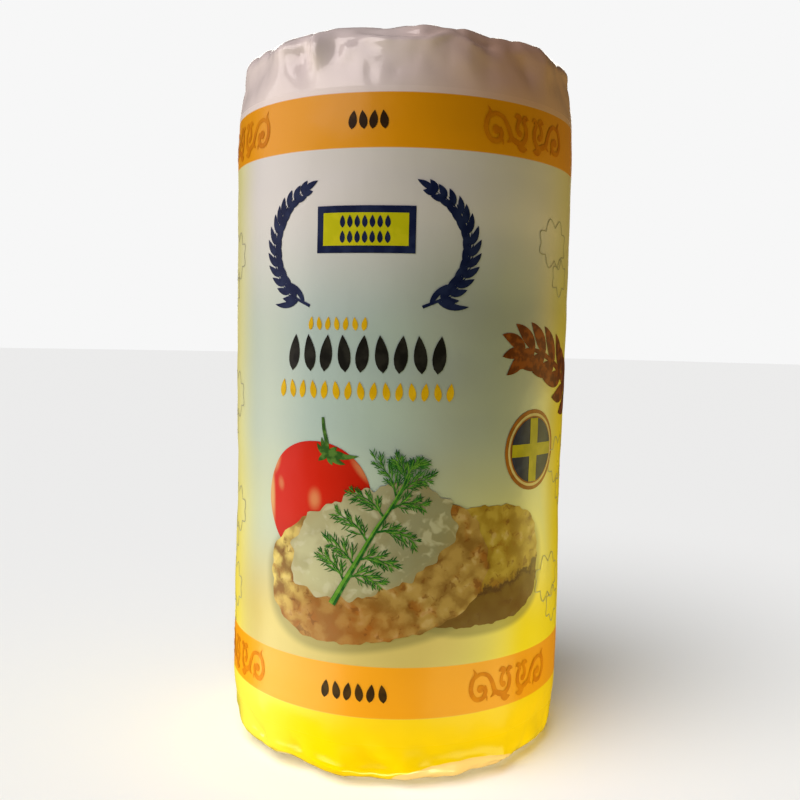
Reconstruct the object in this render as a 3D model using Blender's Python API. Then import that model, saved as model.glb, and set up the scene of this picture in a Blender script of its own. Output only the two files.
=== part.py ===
"""Pack of puffed rice cakes: a tube of film wrapped tightly round a stack, shut and folded flat at both ends.

The pack is one shut, opaque thing, so it is one closed solid. It stands on its folded foot. The origin is the
middle of the foot, +Z runs up the tube, the printed front faces -Y and the long seam runs down the back at +Y.
Lengths are in metres and angles in radians.
"""
import bpy
import bmesh
from math import cos, exp, pi, radians, sin
from mathutils import Vector

# Driving sizes
PACK_HEIGHT = 0.192
PACK_RADIUS = 0.048
CAKE_COUNT = 12

# The wall: film drawn over the edges of the stacked cakes
CAKE_GROOVE = 0.0003        # how far the film dips between two cakes
WAIST_DEPTH = 0.0005        # slight narrowing below the middle of the tube
WAIST_HEIGHT = 0.072
WAIST_SPREAD = 0.022
SHOULDER_TAPER = 0.0007     # the wall draws in a little under the top rim
TAPER_SPREAD = 0.022

# The ends: rounded rims, a flat foot ring, and shallow dishes where the folded film sinks in
RIM_RADIUS = 0.0065
FOOT_RING_INNER = 0.029
FOOT_DISH = 0.0018
CROWN_DISH = 0.0036
DISH_FLOOR_RADIUS = 0.024
POLE_RADIUS = 0.004

# Folds at the rims: the film bends over the round edge in short straight facets
CROWN_FACETS = 15
FOOT_FACETS = 17
FACET_JITTER = radians(5)
FACET_REACH = 0.009         # how far down the wall a facet fades out
FACET_STRENGTH = 0.85

# Side tucks: the film is pushed in at both sides before the end is folded shut
TUCK_DEPTH = 0.0024
TUCK_HALF_ANGLE = radians(30)

# Seals: a crimped strip folded flat across each end, and a fin seam down the back
STRIP_LENGTH = 0.076
STRIP_WIDTH = 0.011
STRIP_THICKNESS = 0.0024
STRIP_PROUD = 0.0009
STRIP_EDGE = 0.0004
FIN_WIDTH = 0.012
FIN_PROUD = 0.0006
FIN_SINK = 0.0012
FIN_INSET = 0.010           # the fin stops this far from each end
FIN_STEPS = 6
SEAT_HALF_ANGLE = radians(17)

# How finely the solid is cut
SIDES = 80
RINGS_PER_CAKE = 3
RIM_STEPS = 6
DISH_STEPS = 5
SMOOTH_ANGLE = radians(32)


def smooth(t):
    """Ease from 0 to 1 as t goes from 0 to 1."""
    t = min(max(t, 0.0), 1.0)
    return t * t * (3.0 - 2.0 * t)


def turn_from(angle, centre):
    """The angle from centre to angle, between -pi and pi."""
    return (angle - centre + pi) % (2.0 * pi) - pi


def film_material():
    material = bpy.data.materials.new("film")
    material.use_nodes = True
    shader = material.node_tree.nodes["Principled BSDF"]
    shader.inputs["Base Color"].default_value = (0.86, 0.84, 0.62, 1.0)
    shader.inputs["Roughness"].default_value = 0.28
    shader.inputs["Metallic"].default_value = 0.0
    return material


def wall_radius(z):
    """Radius of the wall at height z: shallow grooves between the cakes, a slight waist and a drawn-in shoulder."""
    cake_height = (PACK_HEIGHT - 2.0 * RIM_RADIUS) / CAKE_COUNT
    along_cake = (z - RIM_RADIUS) / cake_height
    groove = CAKE_GROOVE * (1.0 - abs(sin(pi * along_cake)))
    waist = WAIST_DEPTH * exp(-((z - WAIST_HEIGHT) / WAIST_SPREAD) ** 2)
    taper = SHOULDER_TAPER * smooth((z - (PACK_HEIGHT - RIM_RADIUS - TAPER_SPREAD)) / TAPER_SPREAD)
    return PACK_RADIUS - groove - waist - taper


def facet_edges(count, phase):
    """Angles at which the rim's facets meet, unevenly spaced as hand-drawn film is."""
    return [2.0 * pi * k / count + FACET_JITTER * sin(2.4 * k + phase) for k in range(count)]


def facet_depth(angle, edges):
    """How far a straight facet lies inside the round rim at this angle."""
    for k, start in enumerate(edges):
        end = edges[(k + 1) % len(edges)]
        width = (end - start) % (2.0 * pi)
        past = (angle - start) % (2.0 * pi)
        if past < width:
            half = width / 2.0
            return PACK_RADIUS * (1.0 - cos(half) / cos(past - half))
    return 0.0


def tuck_depth(angle, radius):
    """How far the side tucks sink below the folded end at this angle and distance from its middle."""
    off_side = min(abs(turn_from(angle, 0.0)), abs(turn_from(angle, pi)))
    inside = 1.0 - smooth((off_side - 0.8 * TUCK_HALF_ANGLE) / (0.2 * TUCK_HALF_ANGLE))
    outward = smooth((radius - POLE_RADIUS) / (DISH_FLOOR_RADIUS - POLE_RADIUS))
    return TUCK_DEPTH * inside * outward


def seat_depth(angle):
    """The wall is pressed in behind the back fin, so that the fin lies within the tube's own radius."""
    off_back = abs(turn_from(angle, pi / 2.0))
    return FIN_PROUD * (1.0 - smooth((off_back / SEAT_HALF_ANGLE - 0.5) / 0.5))


def end_stations(dish, rim_inner):
    """Radius and sink of each ring of a folded end, from its middle out to the inner edge of its rim."""
    stations = [(POLE_RADIUS, dish)]
    for step in range(1, DISH_STEPS + 1):
        share = step / DISH_STEPS
        radius = DISH_FLOOR_RADIUS + (rim_inner - DISH_FLOOR_RADIUS) * share
        stations.append((radius, dish * (1.0 - smooth(share))))
    return stations


def ring_points(radius, z, rim_share, edges, folds=0.0):
    """One ring of the film. rim_share says how much of the rim's facets it takes, folds how much of the tucks."""
    points = []
    for side in range(SIDES):
        angle = 2.0 * pi * side / SIDES
        reach = radius - rim_share * FACET_STRENGTH * facet_depth(angle, edges)
        if rim_share < 1.0 and folds == 0.0:
            reach -= seat_depth(angle)
        height = z - folds * tuck_depth(angle, radius)
        points.append(Vector((reach * cos(angle), reach * sin(angle), height)))
    return points


def film_rings():
    """All rings of the shut tube, from the middle of the foot up to the middle of the crown."""
    foot_edges = facet_edges(FOOT_FACETS, 0.7)
    crown_edges = facet_edges(CROWN_FACETS, 2.1)
    rings = []
    for radius, sink in end_stations(FOOT_DISH, FOOT_RING_INNER):
        rings.append(ring_points(radius, sink, 0.0, foot_edges, folds=-0.5 * sink / FOOT_DISH))
    foot_rim_centre = PACK_RADIUS - RIM_RADIUS
    for step in range(RIM_STEPS + 1):
        turn = (pi / 2.0) * step / RIM_STEPS
        radius = foot_rim_centre + RIM_RADIUS * sin(turn)
        rings.append(ring_points(radius, RIM_RADIUS * (1.0 - cos(turn)), 1.0, foot_edges))
    wall_rings = CAKE_COUNT * RINGS_PER_CAKE
    wall_height = PACK_HEIGHT - 2.0 * RIM_RADIUS
    for ring in range(1, wall_rings):
        z = RIM_RADIUS + wall_height * ring / wall_rings
        foot_share = 1.0 - smooth((z - RIM_RADIUS) / FACET_REACH)
        crown_share = 1.0 - smooth((PACK_HEIGHT - RIM_RADIUS - z) / FACET_REACH)
        edges = foot_edges if foot_share > crown_share else crown_edges
        rings.append(ring_points(wall_radius(z), z, max(foot_share, crown_share), edges))
    top_radius = wall_radius(PACK_HEIGHT - RIM_RADIUS)
    for step in range(RIM_STEPS + 1):
        turn = (pi / 2.0) * step / RIM_STEPS
        radius = top_radius - RIM_RADIUS * (1.0 - cos(turn))
        z = PACK_HEIGHT - RIM_RADIUS * (1.0 - sin(turn))
        rings.append(ring_points(radius, z, 1.0, crown_edges))
    crown_rim_inner = top_radius - RIM_RADIUS
    for radius, sink in reversed(end_stations(CROWN_DISH, crown_rim_inner - 0.004)):
        rings.append(ring_points(radius, PACK_HEIGHT - sink, 0.0, crown_edges, folds=sink / CROWN_DISH))
    return rings


def build_film_body():
    """Skin the rings into one closed tube, with a point at the middle of each end."""
    bm = bmesh.new()
    loops = [[bm.verts.new(point) for point in ring] for ring in film_rings()]
    for lower, upper in zip(loops, loops[1:]):
        for side in range(SIDES):
            beyond = (side + 1) % SIDES
            bm.faces.new((lower[side], lower[beyond], upper[beyond], upper[side]))
    foot_pole = bm.verts.new((0.0, 0.0, FOOT_DISH))
    crown_pole = bm.verts.new((0.0, 0.0, PACK_HEIGHT - CROWN_DISH))
    for side in range(SIDES):
        beyond = (side + 1) % SIDES
        bm.faces.new((foot_pole, loops[0][beyond], loops[0][side]))
        bm.faces.new((crown_pole, loops[-1][side], loops[-1][beyond]))
    mesh = bpy.data.meshes.new("pack")
    bm.to_mesh(mesh)
    bm.free()
    pack = bpy.data.objects.new("pack", mesh)
    bpy.context.collection.objects.link(pack)
    return pack


def seal_strip(name, z_outer, downward):
    """A crimped seal folded flat across an end, with its outer face at z_outer and softened edges."""
    bm = bmesh.new()
    bmesh.ops.create_cube(bm, size=1.0)
    z_middle = z_outer + STRIP_THICKNESS / 2.0 if downward else z_outer - STRIP_THICKNESS / 2.0
    for vert in bm.verts:
        vert.co.x *= STRIP_LENGTH
        vert.co.y = vert.co.y * STRIP_WIDTH - STRIP_WIDTH / 2.0
        vert.co.z = vert.co.z * STRIP_THICKNESS + z_middle
    bmesh.ops.bevel(bm, geom=bm.edges[:], offset=STRIP_EDGE, segments=1, affect="EDGES")
    mesh = bpy.data.meshes.new(name)
    bm.to_mesh(mesh)
    bm.free()
    strip = bpy.data.objects.new(name, mesh)
    bpy.context.collection.objects.link(strip)
    return strip


def back_fin():
    """The long fin seam, folded flat against the back of the tube and bent to its round."""
    outer = PACK_RADIUS
    inner = PACK_RADIUS - FIN_PROUD - FIN_SINK
    half_angle = FIN_WIDTH / 2.0 / PACK_RADIUS
    bm = bmesh.new()
    profile = []
    for radius, steps in ((outer, range(FIN_STEPS + 1)), (inner, range(FIN_STEPS, -1, -1))):
        for step in steps:
            angle = pi / 2.0 - half_angle + 2.0 * half_angle * step / FIN_STEPS
            profile.append((radius * cos(angle), radius * sin(angle)))
    base = [bm.verts.new((x, y, FIN_INSET)) for x, y in profile]
    face = bm.faces.new(base)
    grown = bmesh.ops.extrude_face_region(bm, geom=[face])
    lifted = [item for item in grown["geom"] if isinstance(item, bmesh.types.BMVert)]
    bmesh.ops.translate(bm, verts=lifted, vec=(0.0, 0.0, PACK_HEIGHT - 2.0 * FIN_INSET))
    bmesh.ops.recalc_face_normals(bm, faces=bm.faces[:])
    mesh = bpy.data.meshes.new("back_fin")
    bm.to_mesh(mesh)
    bm.free()
    fin = bpy.data.objects.new("back_fin", mesh)
    bpy.context.collection.objects.link(fin)
    return fin


def weld_on(pack, piece):
    """Join a seal to the film body, so that the shut pack stays one closed solid."""
    union = pack.modifiers.new("weld " + piece.name, "BOOLEAN")
    union.operation = "UNION"
    union.solver = "EXACT"
    union.object = piece
    piece.hide_render = True
    piece.display_type = "WIRE"


def build_pack():
    pack = build_film_body()
    weld_on(pack, seal_strip("crown_strip", PACK_HEIGHT - CROWN_DISH + STRIP_PROUD, downward=False))
    weld_on(pack, seal_strip("foot_strip", FOOT_DISH - STRIP_PROUD, downward=True))
    weld_on(pack, back_fin())
    pack.data.materials.append(film_material())
    pack.data.shade_smooth()
    pack.data.set_sharp_from_angle(angle=SMOOTH_ANGLE)


for old_object in list(bpy.data.objects):
    bpy.data.objects.remove(old_object, do_unlink=True)
build_pack()
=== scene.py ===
# %% [markdown]
# # A tube pack of puffed rice cakes
#
# The object is a shut tube of printed film round a stack of puffed rice cakes. It stands on its folded
# foot, with its printed front towards -Y and its long seam down the back. This lesson makes the film, its
# seals and its print round the fixed model of the pack, then lights it. Lengths are in metres.

# %% Load the frame
from math import atan2, cos, pi, radians, sin

import bmesh
import bpy
import numpy as np
from mathutils import Matrix, Vector, noise


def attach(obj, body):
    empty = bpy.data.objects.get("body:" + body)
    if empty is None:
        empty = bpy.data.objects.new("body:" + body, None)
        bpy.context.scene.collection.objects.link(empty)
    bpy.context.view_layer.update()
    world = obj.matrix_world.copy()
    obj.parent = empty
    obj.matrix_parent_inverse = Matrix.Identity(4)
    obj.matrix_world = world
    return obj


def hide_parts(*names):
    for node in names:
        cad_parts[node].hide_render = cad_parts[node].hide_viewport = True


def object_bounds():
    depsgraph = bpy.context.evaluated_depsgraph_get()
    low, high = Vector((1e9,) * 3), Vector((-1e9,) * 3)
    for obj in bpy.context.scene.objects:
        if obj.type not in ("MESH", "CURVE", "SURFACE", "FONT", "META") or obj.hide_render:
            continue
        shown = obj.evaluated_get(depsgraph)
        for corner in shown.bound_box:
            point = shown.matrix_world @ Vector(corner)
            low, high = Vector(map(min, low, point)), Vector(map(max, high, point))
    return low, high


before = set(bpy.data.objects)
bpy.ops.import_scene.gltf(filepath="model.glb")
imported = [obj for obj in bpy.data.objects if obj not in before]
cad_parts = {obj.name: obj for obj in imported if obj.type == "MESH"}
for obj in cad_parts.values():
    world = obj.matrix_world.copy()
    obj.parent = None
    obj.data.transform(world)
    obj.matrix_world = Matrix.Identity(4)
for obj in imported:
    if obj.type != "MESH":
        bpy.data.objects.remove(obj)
cad_low, cad_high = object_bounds()
PACK_HEIGHT = cad_high.z
TUBE_RADIUS = (cad_high.y - cad_low.y) / 2.0
print(f"pack: {PACK_HEIGHT * 1000:.0f} mm tall, {TUBE_RADIUS * 2000:.0f} mm across")

# %% [markdown]
# ## Camera
#
# A short lens close to the pack gives the strong curve of its printed bands. The distance and height
# are set in pack radii, so the view keeps its shape if the pack is scaled. A small roll lets the pack lean
# as a hand-held camera sees it.

# %% Place the camera
CAMERA_DISTANCE = 5.536 * TUBE_RADIUS
CAMERA_HEIGHT = 2.385 * TUBE_RADIUS
CAMERA_DOWN = radians(3.96)
CAMERA_ROLL = radians(1.21)
SENSOR_WIDTH = 36.0
LENS = 40.19

camera_data = bpy.data.cameras.new("camera")
camera_data.sensor_width = SENSOR_WIDTH
camera_data.lens = LENS
camera_data.clip_start = 0.01
camera = bpy.data.objects.new("camera", camera_data)
bpy.context.scene.collection.objects.link(camera)
camera.matrix_world = (
    Matrix.Translation((0.0, -CAMERA_DISTANCE, CAMERA_HEIGHT))
    @ Matrix.Rotation(pi / 2.0 - CAMERA_DOWN, 4, "X")
    @ Matrix.Rotation(CAMERA_ROLL, 4, "Z")
)
bpy.context.scene.camera = camera
print("camera stands", round(CAMERA_DISTANCE, 3), "m in front of the pack's axis")

# %% [markdown]
# ## Helpers for modelling by hand
#
# Operators act on whatever is selected, so each piece starts with nothing selected, and its rings and faces
# are then picked in code by where they lie.

# %% Selecting helpers
def start_clean():
    """Leave edit mode and deselect everything."""
    if bpy.context.object and bpy.context.object.mode != "OBJECT":
        bpy.ops.object.mode_set(mode="OBJECT")
    bpy.ops.object.select_all(action="DESELECT")


def pick(piece):
    """Select one object alone and make it active."""
    start_clean()
    piece.select_set(True)
    bpy.context.view_layer.objects.active = piece


def select_verts(piece, test):
    """In edit mode, select only the vertices that pass a test on their position."""
    bpy.ops.mesh.select_mode(type="VERT")
    bpy.ops.mesh.select_all(action="DESELECT")
    bm = bmesh.from_edit_mesh(piece.data)
    for vert in bm.verts:
        vert.select_set(bool(test(vert.co)))
    bm.select_flush(True)
    bmesh.update_edit_mesh(piece.data)


def apply_modifiers(piece):
    pick(piece)
    for modifier in list(piece.modifiers):
        bpy.ops.object.modifier_apply(modifier=modifier.name)


# %% [markdown]
# ## The film tube
#
# On the real pack one sheet of film is wrapped round the stack, seamed down the back, pulled over the rims
# and folded flat on both ends. It could be a cloth simulation, but the folds matter more than the draping,
# and they are easier to place by rule. So the tube starts as an open cylinder, cut into rings by
# subdividing its upright edges, and its two open edges are then extruded and scaled inward, ring by ring,
# until they meet in the middle.

# %% Tube sizes
AROUND = 288
WALL_RINGS = 150
RIM_RADIUS = 0.0065
RIM_RINGS = 9
END_RINGS = 26
FOOT_RING_INNER = 0.028
FOOT_DISH = 0.0018
CROWN_DISH = 0.0042


def ease(t):
    """Ease from 0 to 1 as t goes from 0 to 1, for numbers and arrays."""
    t = np.clip(t, 0.0, 1.0)
    return t * t * (3.0 - 2.0 * t)


def end_ring_list(dish, flat_inner):
    """Radius and rise above the rim's own plane of each ring of an end, going in from the wall."""
    rings = []
    for step in range(1, RIM_RINGS + 1):
        turn = pi / 2.0 * step / RIM_RINGS
        rings.append((TUBE_RADIUS - RIM_RADIUS * (1.0 - cos(turn)), RIM_RADIUS * sin(turn)))
    rim_inner = TUBE_RADIUS - RIM_RADIUS
    for step in range(1, END_RINGS):
        radius = rim_inner * (1.0 - step / END_RINGS)
        sink = dish * float(ease((flat_inner - radius) / 0.008))
        rings.append((radius, RIM_RADIUS - sink))
    return rings


# %% Model the tube
start_clean()
bpy.ops.mesh.primitive_cylinder_add(
    vertices=AROUND,
    radius=TUBE_RADIUS,
    depth=PACK_HEIGHT - 2.0 * RIM_RADIUS,
    end_fill_type="NOTHING",
    location=(0.0, 0.0, PACK_HEIGHT / 2.0),
)
film = bpy.context.object
film.name = "film_tube"
bpy.ops.object.transform_apply(location=True)
bpy.ops.object.mode_set(mode="EDIT")
bpy.ops.mesh.select_mode(type="EDGE")
bpy.ops.mesh.select_all(action="DESELECT")
film_bm = bmesh.from_edit_mesh(film.data)
for edge in film_bm.edges:
    if abs(edge.verts[0].co.z - edge.verts[1].co.z) > RIM_RADIUS:
        edge.select_set(True)
bmesh.update_edit_mesh(film.data)
bpy.ops.mesh.subdivide(number_cuts=WALL_RINGS - 1)


def close_end(piece, wall_end_z, up, rings):
    """Extrude and scale the tube's open edge inward through the given rings, then pull the last one shut."""
    select_verts(piece, lambda co: abs(co.z - wall_end_z) < 1e-6)
    last_radius, last_rise = TUBE_RADIUS, 0.0
    for radius, rise in rings:
        bpy.ops.mesh.extrude_edges_move()
        shrink = radius / last_radius
        bpy.ops.transform.resize(value=(shrink, shrink, 1.0), center_override=(0.0, 0.0, 0.0))
        bpy.ops.transform.translate(value=(0.0, 0.0, up * (rise - last_rise)))
        last_radius, last_rise = radius, rise
    bpy.ops.mesh.merge(type="CENTER")


close_end(film, PACK_HEIGHT - RIM_RADIUS, 1.0, end_ring_list(CROWN_DISH, TUBE_RADIUS - RIM_RADIUS - 0.004))
close_end(film, RIM_RADIUS, -1.0, end_ring_list(FOOT_DISH, FOOT_RING_INNER))
bpy.ops.mesh.select_all(action="SELECT")
bpy.ops.mesh.normals_make_consistent(inside=False)
bpy.ops.object.mode_set(mode="OBJECT")
print("film tube:", len(film.data.polygons), "faces")

# %% [markdown]
# ## Two maps on the film
#
# The print is laid out flat before the film is wrapped, so the film carries a map of its own sheet: u is
# the distance round the tube from its front, and v is the distance up the sheet, both in metres. A second
# map, in the unit square, gives every patch of film its own place, with the wall below and the two round
# ends above it.

# %% Map the film
WALL_TOP = PACK_HEIGHT - RIM_RADIUS
WALL_FOOT = RIM_RADIUS
RIM_LENGTH = RIM_RADIUS * pi / 2.0
GIRTH = 2.0 * pi * TUBE_RADIUS


def positions(piece):
    co = np.empty(len(piece.data.vertices) * 3)
    piece.data.vertices.foreach_get("co", co)
    return co.reshape(-1, 3)


def turn_of(co):
    """Angle round the tube from its front, positive to the right."""
    return np.arctan2(co[:, 0], -co[:, 1])


def sheet_height(co):
    """Distance up the sheet of points on the plain tube. Past the wall it follows the rim and the end."""
    out = np.hypot(co[:, 0], co[:, 1])
    inward = TUBE_RADIUS - RIM_RADIUS - out
    height = co[:, 2].copy()
    for top, side in ((True, 1.0), (False, -1.0)):
        edge = WALL_TOP if top else WALL_FOOT
        beyond = side * (co[:, 2] - edge) > 1e-7
        bend = np.arctan2(side * (co[:, 2] - edge), np.maximum(out - (TUBE_RADIUS - RIM_RADIUS), 1e-9))
        past = np.where(inward > 0.0, RIM_LENGTH + inward, RIM_RADIUS * bend)
        height = np.where(beyond, edge + side * past, height)
    return height


plain = positions(film)
film_turn = turn_of(plain)
film_u = film_turn * TUBE_RADIUS
film_v = sheet_height(plain)


def move_verts(piece, co):
    piece.data.vertices.foreach_set("co", co.ravel())
    piece.data.update()


def drop_maps(piece):
    while piece.data.uv_layers:
        piece.data.uv_layers.remove(piece.data.uv_layers[0])


def corner_verts(piece):
    """The vertex at each face corner."""
    corner = np.empty(len(piece.data.loops), dtype=int)
    piece.data.loops.foreach_get("vertex_index", corner)
    return corner


def add_map(piece, name, corner_uv):
    """Store a UV map from an array of one pair for each face corner."""
    layer = piece.data.uv_layers.new(name=name)
    layer.data.foreach_set("uv", corner_uv.astype(np.float32).ravel())


drop_maps(film)
corner_vert = corner_verts(film)
corner_u = film_u[corner_vert]
corner_v = film_v[corner_vert]
corner_out = np.hypot(plain[:, 0], plain[:, 1])[corner_vert]
face_middles = np.empty(len(film.data.polygons) * 3)
film.data.polygons.foreach_get("center", face_middles)
face_middles = face_middles.reshape(-1, 3)
face_of_corner = np.repeat(np.arange(len(film.data.polygons)), [p.loop_total for p in film.data.polygons])
middle_u = turn_of(face_middles)[face_of_corner] * TUBE_RADIUS
corner_u = np.where(corner_u - middle_u > GIRTH / 2.0, corner_u - GIRTH, corner_u)
corner_u = np.where(middle_u - corner_u > GIRTH / 2.0, corner_u + GIRTH, corner_u)
corner_u = np.where(corner_out < 1e-6, middle_u, corner_u)
add_map(film, "print", np.column_stack((corner_u, corner_v)))

bake_scale = 0.98 / GIRTH
wall_rise = (corner_v - WALL_FOOT + RIM_LENGTH) * bake_scale
wall_uv = np.column_stack((0.5 + corner_u * bake_scale, 0.01 + wall_rise))
end_uv = plain[corner_vert][:, :2] * bake_scale
crown_uv = end_uv + np.array((0.25, 0.84))
foot_uv = end_uv * np.array((-1.0, 1.0)) + np.array((0.75, 0.84))
middle_v = face_middles[face_of_corner][:, 2]
middle_out = np.hypot(face_middles[:, 0], face_middles[:, 1])[face_of_corner]
on_end = middle_out < TUBE_RADIUS - RIM_RADIUS
either_end = np.where((middle_v > PACK_HEIGHT / 2.0)[:, None], crown_uv, foot_uv)
bake_uv = np.where(on_end[:, None], either_end, wall_uv)
add_map(film, "OFBake", bake_uv)
print("film sheet:", round(GIRTH * 1000), "mm round,", round((film_v.max() - film_v.min()) * 1000), "mm long")

# %% [markdown]
# ## Folds, dents and crumples
#
# The film follows the cakes, so its wall dips a little between them. At the rims it turns over a round edge
# and breaks into short straight facets, and where there is slack it stands up in creases. On the ends the
# sides are tucked in first and the front and back are folded over them, which leaves two wedge-shaped
# hollows. Each of these is a small function of u and v that says how far the film moves along its own
# normal, and they are added up.

# %% Shape the film
CAKES = 12
GROOVE = 0.00022
WAIST_DEPTH = 0.0005
WAIST_HEIGHT = 0.072
WAIST_SPREAD = 0.022
SHOULDER_TAPER = 0.0007
TAPER_SPREAD = 0.022
FACET_REACH = 0.011
CRUMPLE_REACH = 0.014
FACET_JITTER = radians(5)
FACET_SHARE = 0.9
CROWN_FACETS = 15
FOOT_FACETS = 17
SLOW_WAVE = 0.00035
FINE_WAVE = 0.00012
LARGE_FOLD = 0.0013
SMALL_FOLD = 0.0006
TUCK_DEPTH = 0.0022
FLAP_HALF_ANGLE = radians(30)


def facet_depth(turn, count, phase):
    """How far straight facets lie inside a round rim."""
    number = np.arange(count)
    edges = 2.0 * pi * number / count + FACET_JITTER * np.sin(2.4 * number + phase)
    edges = np.sort(np.mod(edges, 2 * pi))
    depth = np.zeros_like(turn)
    for start, end in zip(edges, np.append(edges[1:], edges[0] + 2.0 * pi)):
        half = (end - start) / 2.0
        past = np.mod(turn - start, 2.0 * pi)
        inside = past < 2.0 * half
        chord = TUBE_RADIUS * (1.0 - cos(half) / np.cos(np.where(inside, past - half, 0.0)))
        depth = np.where(inside, chord, depth)
    return depth


def noise_field(co, size, seed):
    """Soft noise between -1 and 1 with lumps of about the given size."""
    shift = Vector((seed * 3.7, seed * 1.3, seed * 5.1))
    return np.array([noise.noise(Vector(point) / size + shift) for point in co])


def crumple_field(co, size, seed):
    """Flat facets with sharp creases between them: 0 on a crease and about 1 in the middle of a facet."""
    shift = Vector((seed * 2.9, seed * 4.3, seed * 1.7))
    field = []
    for point in co:
        near = noise.voronoi(Vector(point) / size + shift)[0]
        field.append(near[1] - near[0])
    return np.array(field)


def crease(u, v, start, end, width, depth, sharp):
    """A straight crease between two (u, v) points in millimetres. It fades out at its ends and sides."""
    start, end = np.array(start) / 1000.0, np.array(end) / 1000.0
    along = end - start
    length = np.hypot(*along)
    along = along / length
    du, dv = u - start[0], v - start[1]
    run = np.clip((du * along[0] + dv * along[1]) / length, 0.0, 1.0)
    off = np.hypot(du - run * length * along[0], dv - run * length * along[1])
    fade = np.sin(pi * (0.12 + 0.76 * run))
    return depth / 1000.0 * fade * np.clip(1.0 - off / (width / 1000.0), 0.0, 1.0) ** (1.0 + sharp)


def dent(u, v, middle, size, depth):
    """A soft round hollow, with its middle and half sizes in millimetres."""
    du = (u - middle[0] / 1000.0) / (size[0] / 1000.0)
    dv = (v - middle[1] / 1000.0) / (size[1] / 1000.0)
    return depth / 1000.0 * np.exp(-(du * du + dv * dv))


print("fold helpers ready")

# %% [markdown]
# ## Spreading the small shapes
#
# The wall keeps a slow wave and a fine one, and narrows a little at the waist and the shoulder. The facets
# lie straight across the rims, and the crumple is strongest at them, because the film has most slack to
# lose there.

# %% Wall, facets and crumple
near_crown = ease((film_v - (WALL_TOP - FACET_REACH)) / FACET_REACH)
near_foot = ease((WALL_FOOT + FACET_REACH - film_v) / FACET_REACH)
crown_end = ease((film_v - WALL_TOP - RIM_LENGTH) / 0.006)
foot_end = ease((WALL_FOOT - RIM_LENGTH - film_v) / 0.006)
on_wall = 1.0 - np.maximum(near_crown, near_foot)

cake_height = (PACK_HEIGHT - 2.0 * RIM_RADIUS) / CAKES
uneven = 0.5 + 0.5 * noise_field(plain, 0.03, 1)
bulge = -GROOVE * uneven * (1.0 - np.abs(np.sin(pi * (film_v - WALL_FOOT) / cake_height)))
bulge -= WAIST_DEPTH * np.exp(-(((film_v - WAIST_HEIGHT) / WAIST_SPREAD) ** 2))
bulge -= SHOULDER_TAPER * ease((film_v - (WALL_TOP - TAPER_SPREAD)) / TAPER_SPREAD)
bulge += SLOW_WAVE * noise_field(plain, 0.045, 2) * on_wall
bulge += FINE_WAVE * noise_field(plain, 0.014, 3)

facets = FACET_SHARE * near_crown * facet_depth(film_turn, CROWN_FACETS, 2.1) * (1.0 - crown_end)
facets += FACET_SHARE * near_foot * facet_depth(film_turn, FOOT_FACETS, 0.7) * (1.0 - foot_end)

crown_crumple = ease((film_v - (WALL_TOP - CRUMPLE_REACH)) / CRUMPLE_REACH)
foot_crumple = ease((WALL_FOOT + CRUMPLE_REACH - film_v) / CRUMPLE_REACH)
rim_crumple = np.maximum(crown_crumple, foot_crumple)
folds = LARGE_FOLD * rim_crumple * (crumple_field(plain, 0.017, 4) - 0.55)
folds += SMALL_FOLD * rim_crumple * (crumple_field(plain, 0.008, 5) - 0.5)

print("deepest facet:", round(facets.max() * 1000, 2), "mm")

# %% [markdown]
# ## Placing the large folds
#
# The folds that catch the eye are placed one by one on the sheet: creases from point to point, and soft round
# dents. A crease can stand up or sink in, so both kinds share one table.

# %% Creases and dents
CREASES = (
    # (start, end, width, depth), in millimetres on the sheet: hollows are negative
    ((-42, 186), (-34, 188), 4.0, 1.1),
    ((-31, 189), (-28, 179.5), 5.0, -2.0),
    ((-25.5, 190), (-23.5, 181), 3.0, 1.5),
    ((-20, 189), (-18.5, 182.5), 3.0, -1.0),
    ((-18, 182), (-14, 185), 2.4, 0.9),
    ((-14, 189), (-5, 186.2), 2.2, 1.2),
    ((-5, 186.2), (5, 186.4), 2.2, 1.0),
    ((5, 186.4), (12, 190), 2.2, 1.5),
    ((12, 189), (25, 182.5), 2.6, 1.3),
    ((29, 189), (38, 181), 5.0, -1.0),
    ((-5, 177), (-1, 179.8), 1.4, -0.4),
    ((-11, 181), (-8, 176), 1.6, -0.35),
    ((-46, 9), (-36, 3), 3.0, -1.1),
    ((-40, 4), (-27, 5), 2.4, 0.8),
    ((-30, 10), (-24, 3), 3.0, -1.0),
    ((-22, 5), (-8, 4), 2.4, 0.7),
    ((-9, 12), (1, 3), 4.0, -0.7),
    ((1, 3.4), (12, 6.6), 1.8, 0.8),
    ((12, 6.6), (24, 6.8), 1.8, 0.8),
    ((24, 6.8), (39, 2.2), 1.8, 0.8),
)
DENTS = (
    # (middle, half sizes, depth), in millimetres on the sheet
    ((-1, 189.5), (11, 2.4), -1.5),
    ((19, 188.0), (8, 3.5), -1.6),
    ((19, 1.5), (17, 3.0), -0.5),
    ((-34, 0.5), (9, 3.0), -0.9),
    ((-1, 112), (7, 8), -0.45),
    ((9, 112), (5, 7), -0.35),
    ((0, 90), (11, 6), -0.55),
    ((-33, 128), (8, 22), -0.35),
    ((20, 70), (9, 16), -0.3),
    ((33, 120), (8, 20), -0.35),
)
CREASE_SHARPNESS = 0.25
for start, end, width, depth in CREASES:
    folds += crease(film_u, film_v, start, end, width, depth, CREASE_SHARPNESS)
for middle, size, depth in DENTS:
    folds += dent(film_u, film_v, middle, size, depth)

print("folds:", len(CREASES), "creases and", len(DENTS), "dents")

# %% [markdown]
# ## Moving the film
#
# Last come the tucks, the two hollows where the sides were pushed in under the folded flaps. Then every
# point moves: along its own normal for bulges and folds, inward for facets, and up or down for tucks.

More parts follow.
